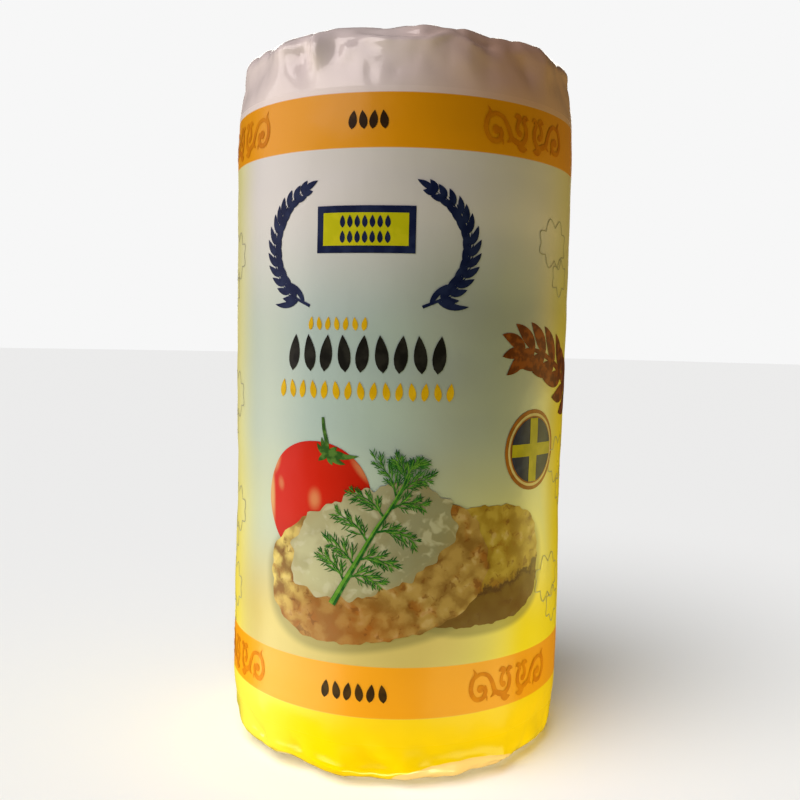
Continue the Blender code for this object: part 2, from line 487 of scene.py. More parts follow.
# %% Move the film
sideways = np.minimum(np.abs(film_turn - pi / 2.0), np.abs(film_turn + pi / 2.0))
film_out = np.hypot(plain[:, 0], plain[:, 1])
flap_edge = FLAP_HALF_ANGLE + 0.25 * ease((0.030 - film_out) / 0.02)
tucks = -TUCK_DEPTH * ease((flap_edge - sideways) / 0.07) * ease((film_out - 0.006) / 0.012)
tucks *= crown_end + 0.55 * foot_end

base_normal = np.zeros_like(plain)
up_share = np.clip((film_v - WALL_TOP) / RIM_LENGTH, 0.0, 1.0)
up_share -= np.clip((WALL_FOOT - film_v) / RIM_LENGTH, 0.0, 1.0)
tilt = up_share * pi / 2.0
base_normal[:, 0] = np.sin(film_turn) * np.cos(tilt)
base_normal[:, 1] = -np.cos(film_turn) * np.cos(tilt)
base_normal[:, 2] = np.sin(tilt)
shaped = plain + base_normal * (bulge + folds)[:, None]
inward = np.column_stack((-np.sin(film_turn), np.cos(film_turn), np.zeros_like(film_turn)))
shaped += inward * facets[:, None]
shaped[:, 2] += tucks * np.sign(up_share)
shaped[:, 2] = np.maximum(shaped[:, 2], 0.0)
move_verts(film, shaped)
pick(film)
bpy.ops.object.shade_smooth()
print("film shaped; lowest point", round(shaped[:, 2].min() * 1000, 2), "mm")

# %% [markdown]
# ## Painting the film with nodes
#
# The print is broad fields of colour: white film, two orange bands, and a yellow glow that deepens towards
# the sides and the foot. Such fields could be an image, but a few curves of u and v say the same at any
# size and stay sharp. The helpers below turn numbers and sockets into small bits of node tree, so that a
# material reads as a list of layers, each laid over the last.

# %% Node helpers
def socket_or_number(tree, target, value):
    """Plug a socket in, or write a plain number or colour."""
    if isinstance(value, bpy.types.NodeSocket):
        tree.links.new(value, target)
    else:
        target.default_value = value


def maths(tree, operation, *values):
    node = tree.nodes.new("ShaderNodeMath")
    node.operation = operation
    for target, value in zip(node.inputs, values):
        socket_or_number(tree, target, value)
    return node.outputs[0]


def soft_step(tree, value, start, end):
    """0 before start and 1 after end, with an eased edge. start may be the larger."""
    node = tree.nodes.new("ShaderNodeMapRange")
    node.interpolation_type = "SMOOTHSTEP"
    socket_or_number(tree, node.inputs["Value"], value)
    if start <= end:
        limits = (start, end, 0.0, 1.0)
    else:
        limits = (end, start, 1.0, 0.0)
    for name, limit in zip(("From Min", "From Max", "To Min", "To Max"), limits):
        node.inputs[name].default_value = limit
    return node.outputs["Result"]


def tint_sockets(node):
    """The colour sockets of a Mix node, which share their names with its number sockets."""
    return [s for s in node.inputs if s.type == "RGBA"]


def times(tree, one, other):
    return maths(tree, "MULTIPLY", one, other)


def start_finish(name):
    """A new material, its node tree and its shader."""
    material = bpy.data.materials.new(name)
    material.use_nodes = True
    return material, material.node_tree, material.node_tree.nodes["Principled BSDF"]


def lay_colour(tree, share, below, above):
    node = tree.nodes.new("ShaderNodeMix")
    node.data_type = "RGBA"
    node.clamp_factor = True
    socket_or_number(tree, node.inputs[0], share)
    low, high = tint_sockets(node)
    socket_or_number(tree, low, below)
    socket_or_number(tree, high, above)
    return [s for s in node.outputs if s.type == "RGBA"][0]


def between(tree, value, low, high, edge):
    """1 between two limits, with soft edges."""
    rising = soft_step(tree, value, low - edge / 2.0, low + edge / 2.0)
    falling = soft_step(tree, value, high + edge / 2.0, high - edge / 2.0)
    return times(tree, rising, falling)


def oval_distance(tree, u, v, middle, half_sizes, turn=0.0, squareness=2.0):
    """How far a point lies from an oval's middle: 1 on its edge. Squareness above 2 fills out its corners."""
    du = maths(tree, "SUBTRACT", u, middle[0])
    dv = maths(tree, "SUBTRACT", v, middle[1])
    across = maths(tree, "ADD", times(tree, du, cos(turn)), times(tree, dv, sin(turn)))
    along = maths(tree, "SUBTRACT", times(tree, dv, cos(turn)), times(tree, du, sin(turn)))
    across = maths(tree, "DIVIDE", across, half_sizes[0])
    along = maths(tree, "DIVIDE", along, half_sizes[1])
    across = maths(tree, "POWER", maths(tree, "ABSOLUTE", across), squareness)
    along = maths(tree, "POWER", maths(tree, "ABSOLUTE", along), squareness)
    return maths(tree, "POWER", maths(tree, "ADD", across, along), 1.0 / squareness)


def noise_value(tree, vector, scale, detail=2.0, roughness=0.5):
    node = tree.nodes.new("ShaderNodeTexNoise")
    node.inputs["Scale"].default_value = scale
    node.inputs["Detail"].default_value = detail
    node.inputs["Roughness"].default_value = roughness
    tree.links.new(vector, node.inputs["Vector"])
    return node.outputs["Fac"]


def colour(red, green, blue):
    return (red, green, blue, 1.0)


# %% [markdown]
# ## The printed film
#
# The front panel is centred a little to the left of the tube's own front, because the pack stands slightly
# turned. The film is glossy plastic over paper-white ink, with faint lengthwise stretch marks and small
# ripples in its bump. Where it is stretched bare over the crown it is smoother and glossier, so that part
# has a second finish.

# %% Print layout
PRINT_MIDDLE = -0.0095
BAND_MARGIN = 0.1 * PACK_HEIGHT
BAND_WIDTH = 0.0132
BAND_EDGE = 0.0003
FOOT_BAND = (BAND_MARGIN, BAND_MARGIN + BAND_WIDTH)
CROWN_BAND = (PACK_HEIGHT - BAND_MARGIN - BAND_WIDTH + 0.0005, PACK_HEIGHT - BAND_MARGIN + 0.0005)
FILM_WHITE = colour(0.90, 0.82, 0.81)
# painted warm shade and reflection for the right side of the bare crown film
FILM_WARM_SHADE = colour(0.86, 0.55, 0.40)
PANEL_WHITE = colour(0.74, 0.74, 0.76)
# one cool print tone, lit at the left and with painted shade where the panel's middle is darker
PANEL_LEFT_LIT = colour(0.52, 0.62, 0.58)
PANEL_COOL_SHADED = colour(0.42, 0.55, 0.57)
# painted shade, laid over the panel's right side
PANEL_SHADE = colour(0.35, 0.37, 0.34)
PANEL_EDGE = colour(0.80, 0.80, 0.40)
BAND_ORANGE = colour(0.86, 0.36, 0.0)
GLOW_YELLOW = colour(0.90, 0.74, 0.0)
FOOT_PALE = colour(0.90, 0.78, 0.08)
FOOT_YELLOW = colour(0.93, 0.66, 0.0)
CAKE_SHADOW = colour(0.20, 0.18, 0.07)
GLOW_CREAM = colour(0.58, 0.48, 0.20)
# painted warm shade and reflection on the white film of the fold at the foot
FOLD_SHADE_AND_REFLECTION = colour(0.95, 0.68, 0.38)
END_FILM = colour(0.80, 0.74, 0.70)
FILM_ROUGHNESS = 0.34
CAKE_SHADOWS = (
    # (middle, half sizes, turn) of the soft shadows printed under the two cakes
    ((0.0036, 0.0546), (0.0312, 0.0180), radians(11)),
    ((0.0322, 0.0556), (0.0222, 0.0160), radians(2)),
)


def sheet_axes(tree):
    """Sockets for distance round the tube from the print's middle, and for height up the sheet."""
    node = tree.nodes.new("ShaderNodeUVMap")
    node.uv_map = "print"
    parts = tree.nodes.new("ShaderNodeSeparateXYZ")
    tree.links.new(node.outputs[0], parts.inputs[0])
    off_front = maths(tree, "SUBTRACT", parts.outputs[0], PRINT_MIDDLE)
    from_middle = maths(tree, "WRAP", off_front, -GIRTH / 2, GIRTH / 2)
    return from_middle, parts.outputs[1], node.outputs[0]


def film_finish(tree, shader, gloss):
    """Gloss, and the bump of the stretched film."""
    place = tree.nodes.new("ShaderNodeTexCoord").outputs["Object"]
    stretched = tree.nodes.new("ShaderNodeMapping")
    stretched.inputs["Scale"].default_value = (1.0, 1.0, 0.12)
    tree.links.new(place, stretched.inputs["Vector"])
    streaks = noise_value(tree, stretched.outputs[0], 260.0, 1.0)
    ripples = noise_value(tree, place, 70.0, 3.0, 0.45)
    height = maths(tree, "ADD", times(tree, streaks, 0.10), ripples)
    bump = tree.nodes.new("ShaderNodeBump")
    bump.inputs["Strength"].default_value = 0.5
    bump.inputs["Distance"].default_value = 0.0006
    tree.links.new(height, bump.inputs["Height"])
    tree.links.new(bump.outputs[0], shader.inputs["Normal"])
    shader.inputs["Roughness"].default_value = FILM_ROUGHNESS
    shader.inputs["Specular IOR Level"].default_value = gloss


def printed_film_colour(tree):
    """All the broad fields of the print, from the bare film up, with painted shade on the panel and a painted warm
    shade and reflection on the crown's right and on the foot's fold.
    """
    p, v, _ = sheet_axes(tree)
    off_middle = maths(tree, "ABSOLUTE", p)

    cool = soft_step(tree, v, 0.150, 0.112)
    # painted shade: the cool print tone darkens from the lit left towards the panel's middle
    cool_tone_lit_to_shaded = lay_colour(tree, soft_step(tree, p, -0.030, -0.010), PANEL_LEFT_LIT, PANEL_COOL_SHADED)
    paint = lay_colour(tree, cool, PANEL_WHITE, cool_tone_lit_to_shaded)
    # painted shade: the panel's right side darkens where the light falls off
    shade = times(tree, between(tree, p, 0.013, 0.080, 0.026), between(tree, v, 0.070, 0.132, 0.030))
    paint = lay_colour(tree, times(tree, shade, 0.65), paint, PANEL_SHADE)
    paint = lay_colour(tree, between(tree, p, -0.100, -0.0415, 0.017), paint, PANEL_EDGE)

    side = times(tree, soft_step(tree, off_middle, 0.046, 0.068), soft_step(tree, off_middle, 0.110, 0.092))
    downward = times(tree, soft_step(tree, v, 0.150, 0.085), 0.58)
    side = times(tree, side, maths(tree, "ADD", 0.42, downward))
    low = soft_step(tree, v, 0.092, 0.034)
    glow = soft_step(tree, oval_distance(tree, p, v, (-0.006, 0.044), (0.048, 0.046)), 1.15, 0.55)
    low = times(tree, low, maths(tree, "SUBTRACT", 1.0, times(tree, glow, 0.96)))
    paint = lay_colour(tree, times(tree, glow, soft_step(tree, v, 0.070, 0.040)), paint, GLOW_CREAM)
    paint = lay_colour(tree, maths(tree, "MAXIMUM", side, low), paint, GLOW_YELLOW)

    for middle, half, turn in CAKE_SHADOWS:
        shadow = soft_step(tree, oval_distance(tree, p, v, middle, half, turn, 2.6), 1.07, 0.95)
        paint = lay_colour(tree, times(tree, shadow, 0.62), paint, CAKE_SHADOW)

    foot = soft_step(tree, v, FOOT_BAND[0] + BAND_EDGE, FOOT_BAND[0] - BAND_EDGE)
    foot_tone = lay_colour(tree, between(tree, p, -0.110, -0.025, 0.030), FOOT_YELLOW, FOOT_PALE)
    paint = lay_colour(tree, foot, paint, foot_tone)
    crown = soft_step(tree, v, CROWN_BAND[1] - BAND_EDGE, CROWN_BAND[1] + BAND_EDGE)
    # painted warm shade and reflection: the white crown film turns brown-orange towards the right
    crown_film_and_warm_shade = lay_colour(tree, between(tree, p, 0.021, 0.105, 0.042), FILM_WHITE, FILM_WARM_SHADE)
    paint = lay_colour(tree, crown, paint, crown_film_and_warm_shade)
    for low_edge, high_edge in (FOOT_BAND, CROWN_BAND):
        paint = lay_colour(tree, between(tree, v, low_edge, high_edge, BAND_EDGE), paint, BAND_ORANGE)

    # painted warm shade and reflection on the turned-up fold of white film at the foot
    fold_shade_and_reflection = soft_step(tree, oval_distance(tree, p, v, (0.0290, 0.0), (0.0196, 0.0069)), 1.02, 0.98)
    paint = lay_colour(tree, fold_shade_and_reflection, paint, FOLD_SHADE_AND_REFLECTION)
    crown_disc = soft_step(tree, v, PACK_HEIGHT + 0.001, PACK_HEIGHT + 0.004)
    ends = maths(tree, "MAXIMUM", soft_step(tree, v, 0.0005, -0.0015), crown_disc)
    return lay_colour(tree, ends, paint, END_FILM)


def printed_film(name, gloss, even, by_ends):
    """The printed film. Its roughness falls by by_ends towards the stretched ends."""
    material, tree, shader = start_finish(name)
    tree.links.new(printed_film_colour(tree), shader.inputs["Base Color"])
    film_finish(tree, shader, gloss)
    _, v, _ = sheet_axes(tree)
    near_crown_end = soft_step(tree, v, CROWN_BAND[1], PACK_HEIGHT - 0.008)
    near_end = maths(tree, "MAXIMUM", near_crown_end, soft_step(tree, v, 0.016, 0.006))
    roughness = maths(tree, "SUBTRACT", even, times(tree, near_end, by_ends))
    tree.links.new(roughness, shader.inputs["Roughness"])
    return material


BARE_FILM_FROM = CROWN_BAND[1] + 0.0015
film.data.materials.append(printed_film("printed film", 0.3, 0.34, 0.16))
film.data.materials.append(printed_film("bare crown film", 0.55, 0.22, 0.10))
for face, middle in zip(film.data.polygons, face_middles):
    face.material_index = 1 if middle[2] > BARE_FILM_FROM else 0
print("film painted with", len(film.data.materials[0].node_tree.nodes), "nodes")

# %% [markdown]
# ## Laying ink on the film
#
# Fine figures need sharper edges than a painted map can hold, so each is a thin skin of ink. It is drawn
# flat, in millimetres across and up from the print's middle, then bent round the tube and pressed onto the
# film with a Shrinkwrap modifier, so that it follows every dent. Its own print map keeps the flat positions
# for its material.

# %% Press a flat drawing onto the film
MM = 0.001
INK_LIFT = 0.00010
LAYER_LIFT = 0.00005
CLEARANCE = 0.0015


def lay_on_film(piece, layer=0):
    """Bend a flat drawing (x across, z up) round the tube and press it on above other layers of ink."""
    flat = positions(piece)
    across = flat[:, 0] + PRINT_MIDDLE
    drop_maps(piece)
    corner = corner_verts(piece)
    add_map(piece, "print", np.column_stack((across[corner], flat[corner, 2])))
    turn = across / TUBE_RADIUS
    out = TUBE_RADIUS + CLEARANCE
    bent = np.column_stack((out * np.sin(turn), -out * np.cos(turn), flat[:, 2]))
    move_verts(piece, bent)
    press = piece.modifiers.new("press", "SHRINKWRAP")
    press.target = film
    press.wrap_method = "NEAREST_SURFACEPOINT"
    press.wrap_mode = "ABOVE_SURFACE"
    press.offset = INK_LIFT + LAYER_LIFT * layer
    apply_modifiers(piece)
    bpy.ops.object.mode_set(mode="EDIT")
    bpy.ops.mesh.select_all(action="SELECT")
    bpy.ops.mesh.normals_make_consistent(inside=False)
    bpy.ops.object.mode_set(mode="OBJECT")
    facing = sum(face.normal.x * face.center.x + face.normal.y * face.center.y for face in piece.data.polygons)
    if facing < 0.0:
        piece.data.flip_normals()
    bpy.ops.object.shade_smooth()
    ink_pieces.append(piece)
    return piece


ink_pieces = []

# %% [markdown]
# ## A brush for line work
#
# Leaves, spirals and stems are all strokes: a path with a width that swells and tapers along it. One small
# brush draws each as a strip of quads, short enough to bend with the film, and a drawing gathers its
# strokes in one mesh.

# %% The brush
def smooth_path(points, steps=6):
    """A flowing line through a few given points."""
    pts = [Vector(point) for point in points]
    pts = [2.0 * pts[0] - pts[1]] + pts + [2.0 * pts[-1] - pts[-2]]
    path = []
    for a, b, c, d in zip(pts, pts[1:], pts[2:], pts[3:]):
        for step in range(steps):
            t = step / steps
            path.append(0.5 * (2.0 * b + (c - a) * t + (2.0 * a - 5.0 * b + 4.0 * c - d) * t * t
                               + (3.0 * b - a - 3.0 * c + d) * t * t * t))
    return path + [pts[-2]]


def leaf_width(t):
    return sin(pi * t ** 0.8) ** 0.85


def taper_width(t):
    return 1.0 - 0.85 * t


def even_width(t):
    return 1.0


class Drawing:
    """Strokes and shapes in one ink, in millimetres from the print's middle."""

    def __init__(self, name):
        self.name = name
        self.points = []
        self.faces = []

    def stroke(self, path, width, profile=taper_width):
        path = [Vector(point) for point in path]
        first = len(self.points)
        last = len(path) - 1
        for k, here in enumerate(path):
            way = (path[min(k + 1, last)] - path[max(k - 1, 0)]).normalized()
            side = Vector((-way.y, way.x)) * max(width * profile(k / last), 0.02) / 2.0
            self.points += [here + side, here - side]
        for k in range(last):
            a = first + 2 * k
            self.faces.append((a, a + 1, a + 3, a + 2))

    def leaf(self, root, angle, length, width, curl=0.0, steps=7):
        """A pointed leaf or grain from its root, curling to one side by an angle along its length."""
        path = []
        here = Vector(root)
        for k in range(steps + 1):
            path.append(here.copy())
            heading = angle + curl * k / steps
            here = here + Vector((cos(heading), sin(heading))) * length / steps
        self.stroke(path, width, leaf_width)

    def dot(self, middle, radius, sides=10):
        first = len(self.points)
        self.points.append(Vector(middle))
        for k in range(sides):
            angle = 2.0 * pi * k / sides
            self.points.append(Vector(middle) + radius * Vector((cos(angle), sin(angle))))
        for k in range(sides):
            self.faces.append((first, first + 1 + k, first + 1 + (k + 1) % sides))

    def finish(self, material, layer=0, mirror=False):
        """Make the drawing a mesh, mirrored about the print's middle if asked, and lay it on the film."""
        points = [(point[0] * MM, 0.0, point[1] * MM) for point in self.points]
        faces = list(self.faces)
        if mirror:
            count = len(points)
            points += [(-x, y, z) for x, y, z in points]
            faces += [tuple(count + corner for corner in reversed(face)) for face in self.faces]
        mesh = bpy.data.meshes.new(self.name)
        mesh.from_pydata(points, [], faces)
        piece = bpy.data.objects.new(self.name, mesh)
        bpy.context.scene.collection.objects.link(piece)
        mesh.materials.append(material)
        return lay_on_film(piece, layer)


# %% [markdown]
# ## Plain inks
#
# A printed ink is a flat colour with a duller gloss than the bare film's, and a little unevenness from the
# press. The inks below differ in their two tones, and in how fine their unevenness is.

# %% Inks
def ink(name, main, worn, patch_size=0.004, gloss=0.08):
    material, tree, shader = start_finish(name)
    sheet = tree.nodes.new("ShaderNodeUVMap")
    sheet.uv_map = "print"
    patches = noise_value(tree, sheet.outputs[0], 1.0 / patch_size, 3.0)
    paint = lay_colour(tree, soft_step(tree, patches, 0.42, 0.62), main, worn)
    tree.links.new(paint, shader.inputs["Base Color"])
    film_finish(tree, shader, gloss)
    return material


navy_ink = ink("navy ink", colour(0.008, 0.014, 0.060), colour(0.016, 0.026, 0.085))
dark_ink = ink("dark grey ink", colour(0.010, 0.010, 0.009), colour(0.022, 0.022, 0.019))
amber_ink = ink("amber ink", colour(0.66, 0.40, 0.004), colour(0.74, 0.47, 0.01))
band_ink = ink("band ornament ink", colour(0.62, 0.20, 0.004), colour(0.70, 0.25, 0.004))
grain_ink = ink("band grain ink", colour(0.030, 0.014, 0.004), colour(0.060, 0.028, 0.006))
branch_ink = ink("brown branch ink", colour(0.12, 0.028, 0.003), colour(0.26, 0.070, 0.008), 0.0025)
cloud_ink = ink("cloud line ink", colour(0.40, 0.40, 0.30), colour(0.50, 0.50, 0.38))
print("plain inks:", [material.name for material in bpy.data.materials if material.name.endswith("ink")])

# %% [markdown]
# ## Scrolls in the bands
#
# Each band carries curled ornaments to the sides of the front, and again at the back: one large round curl,
# then pairs of smaller curls that face each other with a leaf between them.

# %% Draw the scrolls
def scroll_group(drawing, start, middle_v, direction):
    """A large curl and a small one with leafed ends, then the same two mirrored, away from the front."""
    for hand in (1.0, -1.0):
        def at(across, up):
            along = across if hand > 0.0 else SCROLL_LENGTH - across
            return (start + direction * along, middle_v + up)

        def curl(points, width, profile):
            drawing.stroke(smooth_path([at(*point) for point in points], 7), width, profile)

        curl(((0.9, 4.9), (1.6, 3.6), (0.7, 1.4), (0.5, -1.0), (1.9, -3.2), (4.1, -3.2), (4.9, -1.5), (4.3, -0.1)),
             1.25, lambda t: 0.12 + 0.88 * min(1.0, 4.0 * t))
        drawing.dot(at(3.35, -0.6), 1.12, 14)
        curl(((4.4, -2.8), (5.3, -3.1), (5.5, -4.2)), 1.1, lambda t: 1.0 - 0.9 * t)
        curl(((1.3, 2.4), (3.2, 3.3), (5.5, 2.6), (7.0, 0.4), (8.0, -2.0), (9.6, -3.0)),
             1.35, lambda t: 0.65 + 0.45 * t)
        curl(((8.1, -1.6), (7.6, -2.8), (6.6, -3.4)), 1.5, lambda t: 1.0 - 0.85 * t)
        curl(((9.2, -2.8), (11.2, -3.3), (12.7, -1.8), (12.9, 0.6), (12.0, 2.4)),
             1.35, lambda t: 1.15 - 0.35 * t)
        curl(((11.4, 3.3), (10.3, 2.0), (9.9, 0.3), (10.5, -0.9)), 1.15, lambda t: 0.8 + 0.2 * t)
        drawing.dot(at(10.75, -0.7), 0.85, 12)
        curl(((11.4, 2.6), (10.2, 3.4), (8.9, 3.1)), 1.6, leaf_width)
        curl(((12.0, 2.2), (12.7, 3.3), (13.9, 3.0)), 1.5, leaf_width)
        curl(((10.0, -3.4), (11.7, -4.4), (13.4, -4.3)), 1.9, leaf_width)


SCROLL_LENGTH = 29.0
SCROLL_START = 29.3
scrolls = Drawing("ink_band_scrolls")
half_round = GIRTH / 2.0 / MM
for band in (FOOT_BAND, CROWN_BAND):
    middle_v = (band[0] + band[1]) / 2.0 / MM
    for direction in (-1.0, 1.0):
        scroll_group(scrolls, direction * SCROLL_START, middle_v, direction)
        scroll_group(scrolls, direction * (half_round - SCROLL_START - SCROLL_LENGTH), middle_v, direction)
scrolls.finish(band_ink)
print("scrolls:", len(scrolls.faces), "faces")

# %% [markdown]
# ## Navy sprigs and a bare plaque
#
# Two sprigs of rice, one the mirror of the other, curve up round the sides of a plain plaque with a navy
# frame. A sprig is a thin bowed stem with grains set in pairs along it, each a pointed leaf shape with
# light gaps between them. It is drawn once and mirrored, because the two are the same print turned over.

# %% Draw the sprigs
SPRIG_STEM = ((-14.5, 122.0), (-20.6, 125.0), (-25.2, 131.0), (-26.2, 138.6), (-22.6, 146.0), (-16.6, 150.4))
GRAIN_STEP = 2.3
sprigs = Drawing("ink_navy_sprigs")
stem = smooth_path(SPRIG_STEM, 14)
sprigs.stroke(stem, 0.8, taper_width)
run = 0.0
for k in range(6, len(stem)):
    run += (stem[k] - stem[k - 1]).length
    if run < GRAIN_STEP:
        continue
    run = 0.0
    way = stem[k] - stem[k - 1]
    heading = atan2(way.y, way.x)
    share = k / (len(stem) - 1)
    size = 5.4 * (0.55 + 0.45 * sin(pi * min(1.0, 0.15 + 0.80 * share)))
    for hand in (-1.0, 1.0):
        sprigs.leaf(stem[k], heading + hand * 0.62, size, 1.75, -hand * 0.35, 7)
        sprigs.leaf(stem[k], heading + hand * 0.22, size * 0.62, 0.70, -hand * 0.20, 5)
sprigs.leaf(stem[-1], heading, 4.6, 1.6, -0.1, 7)
sprigs.leaf(stem[8], radians(205), 8.5, 1.7, -0.7, 9)
sprigs.leaf(stem[4], radians(118), 7.0, 1.5, 0.6, 9)
sprigs.finish(navy_ink, mirror=True)
print("sprigs:", len(sprigs.faces) * 2, "faces")

# %% [markdown]
# ## The plaque
#
# The plaque is two flat panels, a navy one and a smaller yellow one laid over it, so the navy shows as a
# frame.

# %% Draw the plaque
def printed_panel(name, low, high, material, layer, cell=1.0):
    """A flat rectangle in millimetres, cut into cells so that it bends with the film."""
    start_clean()
    wide, tall = high[0] - low[0], high[1] - low[1]
    bpy.ops.mesh.primitive_grid_add(
        x_subdivisions=max(2, round(wide / cell)), y_subdivisions=max(2, round(tall / cell)), size=1.0)
    panel = bpy.context.object
    panel.name = name
    panel.scale = (wide * MM, tall * MM, 1.0)
    panel.rotation_euler = (pi / 2.0, 0.0, 0.0)
    panel.location = ((low[0] + high[0]) / 2.0 * MM, 0.0, (low[1] + high[1]) / 2.0 * MM)
    bpy.ops.object.transform_apply(location=True, rotation=True, scale=True)
    panel.data.materials.append(material)
    return lay_on_film(panel, layer)


plaque_ink = ink("plaque yellow ink", colour(0.56, 0.56, 0.006), colour(0.62, 0.60, 0.01))
printed_panel("ink_plaque_frame", (-12.5, 134.9), (12.5, 146.3), navy_ink, 0)
printed_panel("ink_plaque_field", (-10.8, 136.7), (10.8, 144.6), plaque_ink, 1)
print("plaque panels:", [piece.name for piece in ink_pieces[-2:]])

# %% [markdown]
# ## Rows of rice grains
#
# Plain upright grains stand in rows where such packs carry their lines of words: one dark row, smaller
# amber rows above and below it, and a few dark grains in each band. The back panels carry the same kinds of
# row.

# %% Draw the grain rows
def grain_row(drawing, start, end, low, high, count, fatness=0.42, lean=0.0):
    """Upright grains between two heights, evenly spaced and leaning a little."""
    pitch = (end - start) / count
    tall = high - low
    for k in range(count):
        across = start + pitch * (k + 0.5)
        slant = lean * (-1.0 if k % 2 else 1.0)
        root = (across - slant * tall / 2.0, low)
        drawing.leaf(root, pi / 2.0 - slant, tall, tall * fatness, 0.0, 8)


BACK_ROWS = 118.0
BACK_HALF = 15.0
title_row = Drawing("ink_dark_grain_row")
grain_row(title_row, -21.5, 21.5, 105.8, 115.0, 9, 0.37, 0.10)
for back in (-BACK_ROWS, BACK_ROWS):
    grain_row(title_row, back - BACK_HALF, back + BACK_HALF, 118.0, 124.0, 9, 0.40, 0.10)
title_row.finish(dark_ink)
plaque_rows = Drawing("ink_plaque_grains")
grain_row(plaque_rows, -6.6, 6.6, 141.0, 144.0, 7, 0.46)
grain_row(plaque_rows, -6.6, 6.6, 137.3, 140.3, 7, 0.46)
plaque_rows.finish(navy_ink, 2)
amber_rows = Drawing("ink_amber_grain_rows")
grain_row(amber_rows, -15.2, 1.6, 116.0, 119.4, 7, 0.42, 0.12)
grain_row(amber_rows, -24.2, 23.6, 98.9, 103.6, 15, 0.40, 0.12)
for back in (-BACK_ROWS, BACK_ROWS):
    for step in range(5):
        low = 106.0 - 9.0 * step
        grain_row(amber_rows, back - BACK_HALF, back + BACK_HALF, low, low + 3.2, 13, 0.42, 0.12)
amber_rows.finish(amber_ink)
band_rows = Drawing("ink_band_grains")
grain_row(band_rows, -4.8, 5.6, CROWN_BAND[0] / MM + 4.4, CROWN_BAND[1] / MM - 4.2, 4, 0.46, 0.12)
grain_row(band_rows, -9.8, 8.2, FOOT_BAND[0] / MM + 4.0, FOOT_BAND[1] / MM - 4.4, 6, 0.44, 0.12)
band_rows.finish(grain_ink)
print("dark and amber grains:", len(title_row.faces) // 8 + len(amber_rows.faces) // 8)

# %% [markdown]
# ## The pictured food
#
# The print shows a tomato, two rice cakes, a spread and a sprig of dill. Each is a rounded outline, so it
# starts as a circle whose points are moved out to the outline, and its edge is then extruded and scaled
# inward in rings. The rings give it the small cells it needs to bend with the film.

# %% A shape in rings
def printed_shape(name, middle, reach, material, layer=0, rings=14, sides=120):
    """Fill an outline, given as a distance from its middle at each angle, in millimetres."""
    start_clean()
    bpy.ops.mesh.primitive_circle_add(vertices=sides, radius=1.0)
    shape = bpy.context.object
    shape.name = name
    for vert in shape.data.vertices:
        angle = atan2(vert.co.y, vert.co.x)
        out = reach(angle)
        vert.co = ((middle[0] + out * cos(angle)) * MM, 0.0, (middle[1] + out * sin(angle)) * MM)
    bpy.ops.object.mode_set(mode="EDIT")
    bpy.ops.mesh.select_all(action="SELECT")
    for ring in range(rings - 1):
        shrink = (rings - 1 - ring) / (rings - ring)
        bpy.ops.mesh.extrude_edges_move()
        bpy.ops.transform.resize(value=(shrink, shrink, shrink),
                                 center_override=(middle[0] * MM, 0.0, middle[1] * MM))
    bpy.ops.mesh.merge(type="CENTER")
    bpy.ops.object.mode_set(mode="OBJECT")
    shape.data.materials.append(material)
    return lay_on_film(shape, layer)


def rounded(half_wide, half_tall, turn=0.0, squareness=2.0, lumps=()):
    """An oval outline, squarer as squareness grows. lumps are (waves round the edge, share of size, phase)."""
    def reach(angle):
        across = abs(cos(angle - turn)) / half_wide
        up = abs(sin(angle - turn)) / half_tall
        size = (across ** squareness + up ** squareness) ** (-1.0 / squareness)
        return size * (1.0 + sum(share * sin(waves * angle + phase) for waves, share, phase in lumps))
    return reach


# %% [markdown]
# ## Puffed rice on paper
#
# A pictured cake is cream-coloured kernels with browned gaps between them. A cell pattern makes the kernels
# and a finer noise the specks. A wide oval darkens the toasted part, and a sloping line parts the top face
# from the side.

# %% Picture finishes
def picture_material(name, paint_layers):
    """A glossy print whose colour comes from a function of the sheet's own axes."""
    material, tree, shader = start_finish(name)
    p, v, sheet = sheet_axes(tree)
    tree.links.new(paint_layers(tree, p, v, sheet), shader.inputs["Base Color"])
    film_finish(tree, shader, 0.2)
    return material


def cells(tree, vector, scale, smoothness):
    """Distance from the middles of soft-edged cells."""
    node = tree.nodes.new("ShaderNodeTexVoronoi")
    node.voronoi_dimensions = "2D"
    node.feature = "SMOOTH_F1"
    node.inputs["Scale"].default_value = scale
    node.inputs["Smoothness"].default_value = smoothness
    tree.links.new(vector, node.inputs["Vector"])
    return node.outputs["Distance"]


def warped(tree, sheet, size, amount):
    """The sheet's positions, pushed about by noise so that patterns on them look grown."""
    node = tree.nodes.new("ShaderNodeTexNoise")
    node.inputs["Scale"].default_value = 1.0 / size
    node.inputs["Detail"].default_value = 2.0
    tree.links.new(sheet, node.inputs["Vector"])
    centred = tree.nodes.new("ShaderNodeVectorMath")
    centred.operation = "SUBTRACT"
    tree.links.new(node.outputs["Color"], centred.inputs[0])
    centred.inputs[1].default_value = (0.5, 0.5, 0.5)
    scaled = tree.nodes.new("ShaderNodeVectorMath")
    scaled.operation = "MULTIPLY_ADD"
    tree.links.new(centred.outputs[0], scaled.inputs[0])
    scaled.inputs[1].default_value = (amount, amount, amount)
    tree.links.new(sheet, scaled.inputs[2])
    return scaled.outputs[0]


